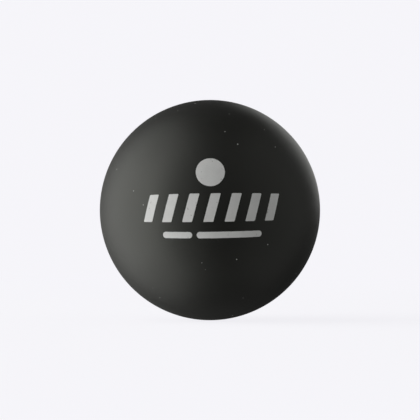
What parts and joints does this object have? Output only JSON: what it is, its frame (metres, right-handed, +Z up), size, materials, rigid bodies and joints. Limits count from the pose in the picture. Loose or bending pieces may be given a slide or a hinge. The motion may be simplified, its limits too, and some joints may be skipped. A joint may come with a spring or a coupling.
{
  "type": "squash ball",
  "caption": "Hollow matte black rubber ball for squash: two thick moulded half shells bonded at one seam, bare of any name.",
  "frame": {"origin": "centre of the ball", "axes": "+Z up; the half shells share the Y axis, with the marked pole facing -Y and the seam in the XZ plane"},
  "size_m": [0.04, 0.04, 0.04],
  "materials": {
    "rubber": "matte",
    "bond": "satin",
    "print_ink": "satin"
  },
  "bodies": {
    "root": {"front_half_shell": "rubber", "rear_half_shell": "rubber", "seam_bond": "bond"}
  },
  "joints": []
}
